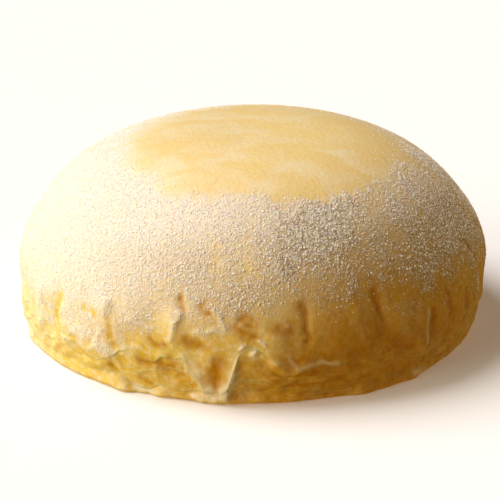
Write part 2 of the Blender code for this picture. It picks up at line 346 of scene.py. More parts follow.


# %% [markdown]
# ## Cream, hollows and clumps
#
# Cream has been pressed out between the crepes, and stays on them in soft ridges and dabs. Between them are
# wet hollows, where the crepe is deep yellow or amber; that deeper colour is partly painted shade, and
# lighter at the lit left. Each is a short line from one place to another: angle and height in millimetres
# of its two ends, then its half width and its height, also in millimetres.
# Noise moves the lines and breaks their edges, so that none looks drawn. Then all that stands out of the
# smooth form is added up.

# %% Lines on the side
CREAM = (
    (-124.9, 33, -125.2, 22.5, 1.4, 0.5),
    (-125.2, 22.5, -127.5, 16, 1.5, 0.5),
    (-138.5, 12, -132, 13.5, 1.7, 0.5),
    (-132, 13.5, -127, 15, 1.4, 0.4),
    (-151, 20, -149, 11, 2.2, 0.5),
    (-139, 18.5, -132, 17.5, 1.8, 0.4),
    (-147.5, 30, -149.5, 24, 1.4, 0.4),
    (-121.5, 15.4, -116, 19.5, 1, 0.3),
    (-105, 18, -102.4, 13, 1.6, 0.4),
    (-102.4, 13, -100, 6, 2.2, 0.6),
    (-93.9, 13.5, -94.3, 9, 2.4, 0.4),
    (-94.3, 9, -96.6, 4.4, 2.4, 0.5),
    (-93, 19.5, -93.9, 13.5, 1.5, 0.35),
    (-102.5, 2.6, -96, 3.2, 1.9, 0.8),
    (-118, 2, -113.5, 1.5, 1.3, 0.6),
    (-126, 13, -121, 8.5, 0.8, 0.3),
    (-121, 8.5, -114, 7.5, 0.8, 0.3),
    (-81.9, 20.1, -79.6, 14.8, 0.8, 0.35),
    (-79.6, 14.8, -74.5, 16, 1, 0.3),
    (-74.5, 16, -70.4, 13.5, 0.9, 0.35),
    (-46.1, 26, -45.8, 13.5, 1.1, 0.4),
    (-88.5, 19.5, -83.5, 17, 0.9, 0.2),
    (-66, 30, -64.5, 24, 1.8, 0.1),
    (-52.5, 31, -53.5, 22, 2.2, 0.1),
    (-48, 2.5, -44, 1.5, 1.4, 0.4),
    (30, 14, 35, 12, 1.4, 0.5),
    (78, 16, 84, 18, 1.3, 0.5),
    (112, 12, 118, 15, 1.6, 0.5),
    (150, 15, 156, 12, 1.6, 0.5),
)
CLUMPS = (
    (-106.4, 33.4, -108.3, 24.6, 0.9, 0.7),
    (-94, 12, -95.8, 5, 1.3, 0.2),
    (-97.4, 34.5, -96.4, 29.5, 1.5, 0.5),
    (-102.5, 27.2, -97, 28.6, 1.2, 0.5),
    (-118, 29, -113.5, 26.5, 1.2, 0.3),
    (-136, 20.5, -131, 18, 1.9, 0.3),
    (-127, 17.5, -124, 15.5, 1.6, 0.25),
    (-145, 22, -144, 17, 1.6, 0.3),
    (-91.8, 23.2, -92, 22.2, 0.8, 0.7),
    (-89.2, 20.6, -89.4, 20.2, 1.1, 1.2),
    (-88.4, 25.4, -87.4, 24.4, 0.9, 0.7),
    (-81.6, 30, -81.7, 29.7, 0.5, 0.7),
    (-121, 21, -120, 18.5, 1.2, 0.3),
    (-133, 20.5, -129, 19.5, 1.6, 0.3),
    (-148, 19, -146.5, 16, 1.4, 0.3),
    (60, 22, 64, 24, 1, 0.4),
    (138, 20, 142, 22, 1.2, 0.4),
)
# Wet hollows are painted deep yellow and amber, partly wet crepe and partly painted shade in the creases.
WET = (
    (-140.4, 30, -142.5, 20, 2.2, 0.6),
    (-124.6, 26.5, -122.6, 18, 2.1, 0.6),
    (-134.6, 14, -130.4, 9.8, 1.7, 0.5),
    (-131.5, 29, -128, 27.5, 1.6, 0.2),
    (-124.4, 11.5, -123.6, 6.5, 1.3, 0.5),
    (-116, 14, -109, 13, 1.9, 0.5),
    (-116.8, 6.4, -114, 5.6, 1.2, 0.4),
    (-108.4, 16, -107.4, 13, 1.6, 0.5),
    (-106.4, 38, -106, 35, 1.6, 0.6),
    (-104.6, 24, -100.5, 22.2, 1.9, 0.4),
    (-97.6, 17, -98, 7, 2.5, 0.25),
    (-92, 32.5, -89.5, 31, 2.2, 0.4),
    (-93.5, 29, -89.5, 27, 2.4, 0.2),
    (-84.5, 29.5, -82, 28.5, 2.6, 0.2),
    (-101, 36.5, -99.5, 34, 1.6, 0.2),
    (-113, 22.5, -110, 21, 1.6, 0.4),
    (-78.8, 36.4, -77.8, 34.5, 2, 0.3),
    (-77.9, 34, -77.6, 24, 0.9, 0.3),
    (-60.3, 38, -60, 33, 1.1, 0.5),
    (-60, 33, -58.9, 26.5, 0.8, 0.5),
    (-43.8, 24.5, -44.2, 19, 2, 0.8),
    (-43.9, 16, -45.4, 11, 1, 0.6),
    (-57.4, 16, -56.4, 15.6, 0.9, 0.6),
    (-55, 19, -51, 14, 2.2, 0.2),
    (-38, 30, -36, 22, 1.8, 0.3),
    (-30, 24, -28, 16, 1.6, 0.3),
    (-86, 11.5, -74, 11, 0.6, 0.2),
    (-82, 7, -66, 7.4, 0.6, 0.2),
    (-22.5, 42, -21.5, 34, 1.1, 0.7),
    (35, 36, 37, 25, 1, 0.7),
    (84, 33, 81, 22, 1.1, 0.7),
    (128, 38, 130, 28, 1, 0.7),
)
LINES = {"cream": (CREAM, 85), "clump": (CLUMPS, 88), "wet": (WET, 91)}
print({kind: len(lines) for kind, (lines, _) in LINES.items()})


def near_line(line, angle, z):
    """How near a place is to a line, from 0 to 1."""
    start, top, end, bottom, width, _ = line
    across = np.radians(turn_between(angle, start)) * BELLY_R / MM
    up = z / MM - top
    run = math.radians(end - start) * BELLY_R / MM
    fall = bottom - top
    share = np.clip((across * run + up * fall) / (run * run + fall * fall), 0.0, 1.0)
    away = np.hypot(across - share * run, up - share * fall)
    return np.exp(-((away / width) ** 2))


def marks(kind, angle, z):
    """All lines of one kind with wandering, broken edges: how near a place is to one, and their relief."""
    lines, seed = LINES[kind]
    turned = angle + 1.1 * uneven(angle, z, 4, seed)
    lifted = z + 1.6 * MM * uneven(angle, z, 4, seed + 1)
    broken = 0.75 + 0.5 * uneven(angle, z, 2.2, seed + 2)
    near = np.array([near_line(line, turned, lifted) for line in lines])
    heights = np.array([line[5] for line in lines])
    relief = (near.T * heights).T.max(axis=0) * broken * MM
    return np.clip(near.max(axis=0) * broken * 1.2, 0.0, 1.0), relief


def raised(angle, z):
    """How far cream and clumps stand out, and how deep the wet hollows lie."""
    out = marks("cream", angle, z)[1] + marks("clump", angle, z)[1]
    return out - marks("wet", angle, z)[1]


BROAD = 1.4 * MM
SOFT_BUMP = 0.85 * MM
FLARE = 0.25 * MM


def cover_relief(angle, z, hem):
    """How far the cover stands out of the smooth form."""
    pleated = 1 - smooth(22 * MM, PLEATS_Z, z)
    broad = BROAD * uneven(angle, z * 0.4, 24, 7)
    soft = SOFT_BUMP * uneven(angle, z * 0.6, 9, 8)
    folds = sum(fold_height(fold, angle, z) for fold in FOLDS)
    flare = FLARE * (1 - smooth(0.0, 4 * MM, z - hem))
    relief = pleated * (broad + soft) + folds + dome_relief(angle, z)
    low = rugged(angle) * (1 - smooth(18 * MM, 36 * MM, z))
    relief = np.maximum(relief, -VALLEY) + flare + pocket(angle, z)[0] + raised(angle, z)
    return relief + low * all_wrinkles(angle, z, 61)


# %% [markdown]
# ## A ball pushed into shape
#
# Every crepe here is a thin closed skin over the dome, and the stack is a closed body. Both have the
# topology of a ball: the outside runs from the north pole down to the hem, and the inside back up to the
# south pole. So each starts as a UV sphere whose rings are then put where they belong. Its seam and poles
# are closed from the start.

# %% A ball whose rings are placed
COLUMNS = 720
ANGLES = np.arange(COLUMNS) * 360 / COLUMNS


def deselect():
    bpy.ops.object.select_all(action="DESELECT")


def print_triangles(body):
    triangles = sum(len(face.vertices) - 2 for face in body.data.polygons)
    print(f"{body.name}: {triangles} triangles")


def all_rings(rings, part):
    """The radius, part 0, or the height, part 1, of each ring at each column."""
    return np.array([np.broadcast_to(ring[part], COLUMNS) for ring in rings])


def shaped_ball(name, rings):
    """A closed body. rings holds the radius and height of each ring, as arrays over the columns."""
    deselect()
    bpy.ops.mesh.primitive_uv_sphere_add(segments=COLUMNS, ring_count=len(rings) - 1, radius=1)
    body = bpy.context.object
    body.name = name
    body.data.name = name
    points = np.empty(len(body.data.vertices) * 3)
    body.data.vertices.foreach_get("co", points)
    x, y, z = points.reshape(-1, 3).T
    column = np.rint(np.degrees(np.arctan2(y, x)) / 360 * COLUMNS).astype(int) % COLUMNS
    row = np.rint(np.arccos(np.clip(z, -1, 1)) / math.pi * (len(rings) - 1)).astype(int)
    radius = all_rings(rings, 0)[row, column]
    height = all_rings(rings, 1)[row, column]
    turn = np.radians(ANGLES[column])
    points = np.column_stack((radius * np.cos(turn), radius * np.sin(turn), height))
    body.data.vertices.foreach_set("co", points.ravel())
    body.data.shade_smooth()
    body.data.update()
    print_triangles(body)
    return body, row, column


def paint(body, name, values, domain="POINT"):
    """One number for each point or face, which the finishes and the grains read."""
    mark = body.data.attributes.new(name, "FLOAT", domain)
    mark.data.foreach_set("value", np.asarray(values, dtype=np.float32))


def paint_order(body):
    """Numbers the faces by their corners, because a new ball lists them in another order in each run."""
    corners = [tuple(face.vertices) for face in body.data.polygons]
    ordered = sorted(range(len(corners)), key=corners.__getitem__)
    paint(body, "order", np.argsort(ordered), "FACE")


# %% [markdown]
# ## The cover
#
# Rings lie up to half a millimetre apart on the pleated side and wider apart on the smooth dome. At the hem
# four rings round the edge of the crepe, and a few more lead back up the inside to the second pole.

# %% The cover
COVER_INNER = 1.8 * MM
CREPE = 1.1 * MM
LIP = 2.5 * MM
DOME_END = math.degrees(math.acos(((PLEATS_Z - BELLY_Z) / (HEIGHT - BELLY_Z)) ** (SHOULDER / 2)))
DOME_RINGS = 40
SIDE_RINGS = 74
HIDDEN_ROWS = (68, 54, 38, 18)
LIP_TURNS = (45, 90, 135, 180)
LIP_THICK = 0.5 * MM
LIP_DROP = 0.3 * MM
DOME_SPACING = 1.5
SIDE_SPACING = 0.9
BLUR_STEPS = 12
HOLLOW_DEPTH = 0.4 * MM
NOTHING = np.zeros(COLUMNS)


def hidden_rings(depth):
    """Rings of a skin that doesn't show, from the side up to the pole."""
    rings = [(form_radius(ANGLES, JOIN_Z, depth), JOIN_Z)]
    rings += [dome_point(ANGLES, row, depth) for row in HIDDEN_ROWS]
    return rings + [(0.0, HEIGHT - depth)]


def lip_rings(radius, hem):
    """The rounded edge of one crepe, from its outer face to its inner one."""
    rings = []
    for turn in LIP_TURNS:
        inward = LIP_THICK * (1 - math.cos(math.radians(turn))) / 2
        down = LIP_DROP * math.sin(math.radians(turn))
        rings.append((radius - inward, hem - down))
    return rings


def cover_rings():
    rings = [(0.0, HEIGHT)]
    for number in range(1, DOME_RINGS + 1):
        row = DOME_END * (number / DOME_RINGS) ** DOME_SPACING
        radius, level = dome_point(ANGLES, row)
        rings.append((radius + smooth(0.0, 20 * MM, radius) * dome_relief(ANGLES, level), level))
    hem = cover_hem(ANGLES)
    for number in range(1, SIDE_RINGS + 1):
        level = hem + (PLEATS_Z - hem) * (1 - (number / SIDE_RINGS) ** SIDE_SPACING)
        rings.append((form_radius(ANGLES, level) + cover_relief(ANGLES, level, hem), level))
    rings += lip_rings(rings[-1][0], hem)
    level = hem + LIP
    inside = np.minimum(rings[-1][0], form_radius(ANGLES, level) - CREPE)
    rings.append((inside, level))
    return rings + hidden_rings(COVER_INNER)


def hollows(rings, first, last):
    """How deep each point of a band of rings lies in a hollow: from -1 on a ridge to 1 in a furrow."""
    radius = all_rings(rings[first:last], 0)
    flat = radius
    for _ in range(BLUR_STEPS):
        flat = (flat + np.roll(flat, 1, axis=1) + np.roll(flat, -1, axis=1)) / 3
        padded = np.pad(flat, ((1, 1), (0, 0)), mode="edge")
        flat = (padded[:-2] + padded[1:-1] + padded[2:]) / 3
    before = [NOTHING] * first
    return before + list(np.clip((flat - radius) / HOLLOW_DEPTH, -1.0, 1.0))


def all_round(rings, row, column, values):
    """The value of each ring's columns at each point. Rings without one have nothing."""
    values = values + [NOTHING] * (len(rings) - len(values))
    return np.array(values)[row, column]


rings = cover_rings()
cover, row, column = shaped_ball("cover", rings)
last_outside = DOME_RINGS + SIDE_RINGS + 1
cover_outside = row <= last_outside
paint(cover, "hollow", all_round(rings, row, column, hollows(rings, DOME_RINGS, last_outside)))

# %% [markdown]
# ## Edges of many layers
#
# Under the hem the cake shows the edges of crepes that lie almost on each other. They are relief: going
# down the side, each edge steps inwards like the boards of a clapboard wall. The boards climb round the
# cake in a slow spiral and wander up and down, so that their edges run slantwise, fork and fade as torn
# crepes do.

# %% Clapboard relief
def layer_edges(angle, z, pitch, turns, wander, seed):
    """Share by which the layers stand out, from 0 to 1, and how near a point is to an edge."""
    drift = wander * uneven(angle, z * 0.6, 15, seed)
    drift = drift + 0.3 * wander * uneven(angle, z, 6, seed + 1)
    level = (z + drift) / pitch + turns * angle / 360
    share = level - np.floor(level)
    strong = smooth(-0.25, 0.35, uneven(angle, z, 11, seed + 2))
    out = (1 - share) * smooth(0.0, 0.10, share)
    edge = np.exp(-(((share - 0.08) / 0.14) ** 2)) * strong
    return out * strong, edge


def crumpled(angle, z, seed):
    """Crumples of a crepe where it comes free of the one above it."""
    slant = z / MM * 0.7
    coarse = 0.7 * MM * uneven(angle + slant, z * 0.7, 10, seed)
    return rugged(angle) * (coarse + 0.4 * MM * uneven(angle - slant, z, 4.5, seed + 1))


# %% [markdown]
# ## Layers that cling
#
# A moist crepe clings to the one above it: just under a hem it lies a fraction of a millimetre further in,
# and only lower down it takes its own way. So the radius of each layer starts from the radius of the hem
# that hangs over it.

# %% Clinging layers
CLING = 6 * MM
HIDE = 1.6 * MM
EDGE_STEP = 0.16 * MM


def clinging(level, over, own, own_at_hem, seed):
    """Radius of a layer under a hem. over holds the hem's height and radius."""
    hem, radius = over
    step = 0.15 + 0.25 * uneven(ANGLES, 0.0, 17, seed) + 0.25 * uneven(ANGLES, 0.0, 6, seed + 1)
    step = step * (1 - 0.9 * near_angle(ANGLES, -92.5, 4))
    near = smooth(CLING, 0.0, hem - level)
    hidden = HIDE * smooth(hem - 0.1 * MM, hem + 0.6 * MM, level)
    return own + (radius - np.maximum(step, 0.05) * MM - own_at_hem) * near - hidden


# %% [markdown]
# ## The second and third crepes
#
# Each hangs a little lower than the one above it and is crumpled where it comes free of it. Its rings are
# dense only on the band that shows.

# %% The inner crepes
BAND_RINGS = 36
WANDER = 2.2 * MM
HEM_RIM = 0.6 * MM
CREAM_FULL = 0.45 * MM
MOST_LIT_ANGLE = -141


def layered(angle, level, seed, pitch, turns):
    """Relief of a layer that shows, with how near each point is to an edge."""
    out, near = layer_edges(angle, level, pitch, turns, WANDER, seed + 4)
    wrinkled = rugged(angle) * all_wrinkles(angle, level, seed + 8)
    return crumpled(angle, level, seed) + wrinkled + EDGE_STEP * out + raised(angle, level), near


def paleness_and_light(angle, z):
    """How pale the side is, mostly painted light: most at the left where the light falls and higher up,
    least on the shaded right, with painted light lifting the shade beside the tongue.
    """
    towards_left = np.cos(np.radians(angle - MOST_LIT_ANGLE))
    higher = 0.3 * smooth(11 * MM, 24 * MM, z)
    lift_beside_tongue = 0.25 * near_angle(angle, -91, 4)
    return np.minimum(smooth(0.6, 1.0, towards_left + higher) + lift_beside_tongue, 1.0)


def paint_marks(body, angle, z):
    """What every layer of the side shows: how pale it is, which is mostly painted light, its cream, clumps
    and wet hollows.
    """
    low = 1 - smooth(PLEATS_Z - 2 * MM, PLEATS_Z + 2 * MM, z)
    # The pale mark is painted light: paler towards the lit left, lighter beside the tongue.
    paint(body, "pale", paleness_and_light(angle, z))
    paint(body, "cream", np.clip(low * marks("cream", angle, z)[1] / CREAM_FULL, 0.0, 1.0))
    paint(body, "clump", low * marks("clump", angle, z)[0])
    paint(body, "wet", low * marks("wet", angle, z)[0])


def layer_body(name, rings, edge, first, hem=None):
    """A painted layer. edge says how near its rings are to an edge."""
    body, row, column = shaped_ball(name, rings)
    height = all_rings(rings, 1)[row, column]
    rim = all_round(rings, row, column, edge)
    if hem is not None:
        rim = np.maximum(rim, np.exp(-(((height - hem[column]) / HEM_RIM) ** 2)))
    paint(body, "rim", rim)
    paint(body, "hollow", all_round(rings, row, column, hollows(rings, first, len(edge))))
    paint_marks(body, ANGLES[column], height)
    return body


def inner_crepe(name, outer, inner, hem, over, swell, seed, pitch, turns):
    """A crepe under the cover. over holds the height and the radius of the hem above it."""

    def own(level):
        relief, near = layered(ANGLES, level, seed, pitch, turns)
        return form_radius(ANGLES, level, outer) + swell + relief, near

    own_at_hem = own(over[0])[0]

    def outer_radius(level):
        radius, near = own(level)
        return clinging(level, over, radius, own_at_hem, seed + 9), near

    rings = list(reversed(hidden_rings(outer)))
    first = len(rings)
    edge = [NOTHING] * first
    top = np.maximum(over[0] + 0.5 * MM, hem + 1.2 * MM)
    for number in range(BAND_RINGS + 1):
        level = hem + (top - hem) * (1 - number / BAND_RINGS)
        radius, near = outer_radius(level)
        rings.append((radius, level))
        edge.append(near)
    hem_radius = rings[-1][0]
    rings += lip_rings(hem_radius, hem)
    level = hem + LIP
    least = np.minimum(outer_radius(level)[0], outer_radius(level + LIP)[0]) - CREPE
    rings.append((np.minimum(least, form_radius(ANGLES, level, inner)), level))
    rings += hidden_rings(inner)
    return layer_body(name, rings, edge, first, hem), hem_radius


hem_of_cover = cover_hem(ANGLES)
hem_of_second = wavy_hem(ANGLES, SECOND_HEM_Z, LOWEST_SECOND_Z, SECOND_WAVES, 3)
hem_of_third = wavy_hem(ANGLES, THIRD_HEM_Z, LOWEST_THIRD_Z, THIRD_WAVES, 5)
cover_edge = form_radius(ANGLES, hem_of_cover) + cover_relief(ANGLES, hem_of_cover, hem_of_cover)
under_cover = (hem_of_cover, cover_edge)
second, second_radius = inner_crepe(
    "second", outer=2.15 * MM, inner=3.2 * MM, hem=hem_of_second, over=under_cover,
    swell=1.8 * MM, seed=41, pitch=4.4 * MM, turns=5,
)


def lower_of(over, hem, radius):
    """The hem that hangs lowest, of those above and one more."""
    lower = hem < over[0]
    return np.where(lower, hem, over[0]), np.where(lower, radius, over[1])


under_second = lower_of(under_cover, hem_of_second, second_radius)
third, third_radius = inner_crepe(
    "third", outer=3.55 * MM, inner=4.6 * MM, hem=hem_of_third, over=under_second,
    swell=3.0 * MM, seed=51, pitch=3.6 * MM, turns=9,
)
under_third = lower_of(under_second, hem_of_third, third_radius)

# %% [markdown]
# ## The foot of the stack
#
# Under the draped crepes the stack itself spreads a little towards its flat bottom. Its crumpled edges have
# the same relief, closer together, and here and there a lip of crepe sticks out. The lips are given like
# the pleats.

# %% The stack
STACK_OUTER = 4.95 * MM
FOOT_RINGS = 30
FOOT_SPREAD = 5.1 * MM
FOOT_LEAN = 1.5 * MM
FOOT_ANGLE = -145
FOOT_ROUND = 1.6 * MM
FOOT_TUCK = 0.9 * MM
FOOT_INSET = 1.2 * MM
FOOT_PITCH = 2.4 * MM
FOOT_LIPS = (
    (-118, 0, 3, 5, 2.6),
    (-99, 0, 3, 4, 1.5),
    (-61, 0, 3, 9, 2.6),
    (-47.5, 0, 3, 4, 3),
    (20, 0, 3, 4, 1.6),
    (66, 0, 3, 6, 2),
    (131, 0, 3, 4, 2.4),
)


def foot(level):
    lips = sum(fold_height(lip, ANGLES, level) for lip in FOOT_LIPS)
    most = np.cos(np.radians(ANGLES - FOOT_ANGLE))
    relief, near = layered(ANGLES, level, 31, FOOT_PITCH, 7)
    rounding = FOOT_TUCK * np.clip(1 - level / FOOT_ROUND, 0.0, 1.0) ** 2
    spread = FOOT_SPREAD + FOOT_LEAN * most + lips - rounding
    calm = 0.5 + 0.5 * smooth(0.0, 4 * MM, level)
    return form_radius(ANGLES, level, STACK_OUTER) + spread + calm * relief, near


def stack_body():
    free = under_third[0]
    own_at_hem = foot(free)[0]
    rings = list(reversed(hidden_rings(STACK_OUTER)))
    first = len(rings)
    edge = [NOTHING] * first
    for number in range(FOOT_RINGS + 1):
        level = (free + 0.5 * MM) * (1 - number / FOOT_RINGS)
        own, near = foot(level)
        rings.append((clinging(level, under_third, own, own_at_hem, 39), level))
        edge.append(near)
    rings.append((rings[-1][0] - FOOT_INSET, 0.0))
    rings.append((FOOT_R / 2, 0.0))
    rings.append((0.0, 0.0))
    return layer_body("stack", rings, edge, first)


stack = stack_body()

# %% [markdown]
# ## Where the sugar lies
#
# Powdered sugar was sieved over the shoulder. The middle of the top is bare, out to an uneven edge:
# BARE_TOP gives its radius in millimetres at some angles. Lower down the sugar thins out, where it stays on
# the ridges and melts in the valleys: SUGAR_END gives the height of that, from 15 mm at the left to 39 mm a
# little right of the middle. Patches make it thicker or thinner. Each has an angle and a height, how far it
# spreads both ways, and its change.
#
# Each point of the cover gets a number from 0 to 1 for it, which its finish and the grains both read.

# %% The map of the sugar
BARE_TOP = ((-180, 43), (-135, 54), (-90, 58), (-45, 60), (0, 57), (60, 47), (120, 38))
SUGAR_END = (
    (-180, 15), (-135, 17), (-118, 23), (-105, 31), (-75, 39),
    (-45, 36), (-28, 30), (0, 31), (90, 30), (150, 22),
)
SUGAR_PATCHES = (
    (-73, 56, 13, 8, 0.55),
    (-150, 46, 26, 26, 0.45),
    (-178, 40, 12, 22, -0.3),
    (-22, 44, 12, 9, 0.2),
    (-112, 52, 14, 9, 0.2),
    (-91, 52, 2.5, 7, -0.45),
    (-99, 50, 2, 7, -0.35),
    (-92.5, 44, 1.5, 5, -0.45),
    (-93, 46, 16, 9, 0.3),
    (-66, 44, 13, 6, -0.2),
    (-47, 55, 9, 9, -0.2),
    (-27, 52, 9, 12, 0.2),
    (110, 50, 25, 12, 0.3),
)


def round_the_cake(stops, angle):
    """A value that changes smoothly from one given angle to the next, all round."""
    angles, values = zip(*stops, (stops[0][0] + 360, stops[0][1]))
    return np.interp(turn_between(angle, 0), angles, values)


def sugar_amount(angle, radius, z, relief):
    """How thick the sugar lies, from 0 to 1."""
    bare = round_the_cake(BARE_TOP, angle) * MM
    spread = radius / BELLY_R * 6
    edge = 5 * MM * uneven(angle, spread * MM, 16, 71) + 2 * MM * uneven(angle, radius, 5, 72)
    past = radius - bare - edge
    sharp = near_angle(angle, -60, 38)
    top = (1 - sharp) * (0.3 * smooth(-16 * MM, 2 * MM, past) + 0.7 * smooth(-3 * MM, 9 * MM, past))
    top = top + sharp * (0.06 * smooth(-14 * MM, -1 * MM, past) + 0.94 * smooth(-1.5 * MM, 2.5 * MM, past))
    top = np.where(z > HEIGHT - 18 * MM, top, 1.0)
    end = round_the_cake(SUGAR_END, angle) * MM
    patches = 8 * MM * uneven(angle, z * 0.8, 9, 73) + 4 * MM * uneven(angle, z, 4, 74)
    low = smooth(-10 * MM, 14 * MM, z - end + patches + 4 * relief)
    thick = 0.68 + 0.5 * uneven(angle, z * 0.8, 12, 76) + 0.25 * uneven(angle, z, 5, 77)
    for patch in SUGAR_PATCHES:
        thick = thick + patch[4] * in_spot(angle, z, patch)
    clumps = np.where(z < PLEATS_Z, marks("clump", angle, z)[0], 0.0)
    wet = np.where(z < PLEATS_Z, marks("wet", angle, z)[0], 0.0)
    return np.clip(top * low * np.clip(thick, 0.12, 1.0) * (1 - 0.9 * wet) + 0.25 * clumps, 0.0, 1.0)


points = np.empty(len(cover.data.vertices) * 3)
cover.data.vertices.foreach_get("co", points)
x, y, height = points.reshape(-1, 3).T
radius = np.hypot(x, y)
angle = ANGLES[column]
relief = np.where(height < PLEATS_Z, cover_relief(angle, height, hem_of_cover[column]), 0.0)
sugar = np.where(cover_outside, sugar_amount(angle, radius, height, relief), 0.0)
paint(cover, "sugar", sugar)
paint_order(cover)
slope = (np.roll(hem_of_cover, -1) - np.roll(hem_of_cover, 1)) / (2 * BELLY_R * math.tau / COLUMNS)
from_hem = (height - hem_of_cover[column]) / np.sqrt(1 + slope[column] ** 2)
on_side = np.where(height < PLEATS_Z, 1.0, 0.0)
_, pocket_rim, pocket_hollow = pocket(angle, height)
paint(cover, "rim", np.maximum(np.exp(-((from_hem / (0.9 * MM)) ** 2)), pocket_rim * on_side))
paint(cover, "valley_wet_and_shade", smooth(0.0, -1.4 * MM, relief))
paint(cover, "pocket", pocket_hollow * on_side)
paint_marks(cover, angle, height)
print(f"sugar covers {np.mean(sugar[cover_outside] > 0.3):.0%} of the cover's points")

# %% [markdown]
# ## A way to write finishes
#
# A finish is a tree of nodes, and maths on it is easier to read as maths. `Link` wraps one socket, so that
# a sum or a product of links adds the Math nodes by itself. Every other node comes from one method, which
# takes the node's type, then its settings, then the values or links of its sockets.

# %% Links and nodes
class Link:
    """A socket of a node tree that can be added, multiplied and so on."""

    def __init__(self, tree, socket):
        self.tree = tree
        self.socket = socket

    def math(self, operation, first, second):
        return self.tree.node("ShaderNodeMath", {"operation": operation}, {0: first, 1: second})

    def __add__(self, other):
        return self.math("ADD", self, other)

    def __sub__(self, other):
        return self.math("SUBTRACT", self, other)

    def __rsub__(self, other):
        return self.math("SUBTRACT", other, self)

    def __mul__(self, other):
        return self.math("MULTIPLY", self, other)

    __radd__ = __add__
    __rmul__ = __mul__


class Tree:
    """A node tree whose nodes are made by one method."""

    def __init__(self, tree):
        self.tree = tree

    def node(self, kind, settings, values, out=0):
        made = self.tree.nodes.new(kind)
        for name, value in settings.items():
            setattr(made, name, value)
        for name, value in values.items():
            socket = self.socket(made.inputs, name)
            if isinstance(value, Link):
                self.tree.links.new(value.socket, socket)
            else:
                socket.default_value = value
        return Link(self, self.socket(made.outputs, out))

    @staticmethod
    def socket(sockets, name):
        if isinstance(name, int):
            return sockets[name]
        return next(s for s in sockets if name in (s.identifier, s.name))

    def mark(self, name):
        """A number painted on the points."""
        return self.node("ShaderNodeAttribute", {"attribute_name": name}, {}, "Fac")

    def place(self):
        return self.node("ShaderNodeTexCoord", {}, {}, "Object")

    def along(self, axis, place=None):
        """One number of a place."""
        return self.node("ShaderNodeSeparateXYZ", {}, {"Vector": place or self.place()}, axis)

    def left(self):
        """How far to the left a place is, from -1 to 1."""
        return self.along("X") * (-1 / BELLY_R)

    def noise(self, size, detail, stretch=None, distortion=0.0):
        """Noise from 0 to 1 with bumps of a size in millimetres."""
        place = self.place()
        if stretch:
            place = self.node("ShaderNodeMapping", {}, {"Vector": place, "Scale": stretch})
        values = {"Vector": place, "Scale": 1 / (size * MM), "Detail": detail, "Distortion": distortion}
        return self.node("ShaderNodeTexNoise", {}, values, "Fac")

    def between(self, value, low, high):
        """0 below low, 1 above high, smooth between them."""
        values = {"Value": value, "From Min": low, "From Max": high}
        return self.node("ShaderNodeMapRange", {"interpolation_type": "SMOOTHSTEP"}, values)

    def mix(self, share, first, second):
        """A colour between two colours."""
        values = {"Factor_Float": share, "A_Color": first, "B_Color": second}
        return self.node("ShaderNodeMix", {"data_type": "RGBA"}, values, "Result_Color")

    def bump(self, height, most, normal=None):
        """Bumps up to most millimetres high."""
        values = {"Height": height, "Distance": most * MM, "Strength": 1.0}
        if normal:
            values["Normal"] = normal
        return self.node("ShaderNodeBump", {}, values, "Normal")


def finish(name):
    """A new material, its tree, and its Principled shader."""
    material = bpy.data.materials.new(name)
    material.use_nodes = True
    tree = Tree(material.node_tree)
    shader = material.node_tree.nodes["Principled BSDF"]
    return material, tree, shader


def dress(tree, shader, **values):
    """Sets or links the shader's sockets. Underscores stand for spaces in their names."""
    for name, value in values.items():
        socket = shader.inputs[name.replace("_", " ")]
        if isinstance(value, Link):
            tree.tree.links.new(value.socket, socket)
        else:
            socket.default_value = value


def colour(red, green, blue):
    return (red, green, blue, 1.0)


# %% [markdown]
# ## Crepe
#
# A crepe is a thin, soft, slightly translucent sheet of egg batter. Its yellow deepens to amber where it is
# wet and lies thick, and pales at its thin edges; the deeper colour in its hollows and creases is partly
# painted shade. Light that enters it comes out a few millimetres away and warmer, which is the subsurface
# part of the shader. Only its colour, roughness and bumps change over the surface. Towards the left, where
# the light falls, all of it is painted paler: that is painted light. On the cover the sugar makes a haze
# with
# painted grains: painted lighter at the lit left, with painted shade on the right, and a thick rough heap
# on the right shoulder that is painted greyer, partly as painted shade.

# %% The finishes of the crepes
PALE = colour(0.89, 0.77, 0.50)
YELLOW = colour(0.87, 0.675, 0.30)
STRAW = colour(0.86, 0.67, 0.25)
BUTTER = colour(0.85, 0.62, 0.13)
TAN = colour(0.78, 0.59, 0.31)
MOIST = colour(0.79, 0.50, 0.05)
DEEP = colour(0.70, 0.37, 0.015)
AMBER = colour(0.54, 0.24, 0.004)
BROWN = colour(0.42, 0.18, 0.003)
GOLD = colour(0.87, 0.61, 0.04)
EDGE = colour(0.92, 0.78, 0.43)
CREAMY = colour(0.93, 0.84, 0.66)
WHITE = colour(0.95, 0.89, 0.80)
# Sugar haze as it looks out of the light, then the same with painted light, then three painted shades: for
# the heap, for the right side and between clots.
HAZE = colour(0.70, 0.55, 0.39)
LIT_HAZE = colour(0.90, 0.82, 0.72)
SHADE = colour(0.66, 0.54, 0.42)
SHADE_ON_RIGHT = colour(0.41, 0.30, 0.18)
SHADE_BETWEEN_CLOTS = colour(0.38, 0.29, 0.20)
SOFT = {"Subsurface_Weight": 0.4, "Subsurface_Radius": (0.8, 0.55, 0.15), "Subsurface_Scale": 0.003}
SOFT["Specular_IOR_Level"] = 0.3


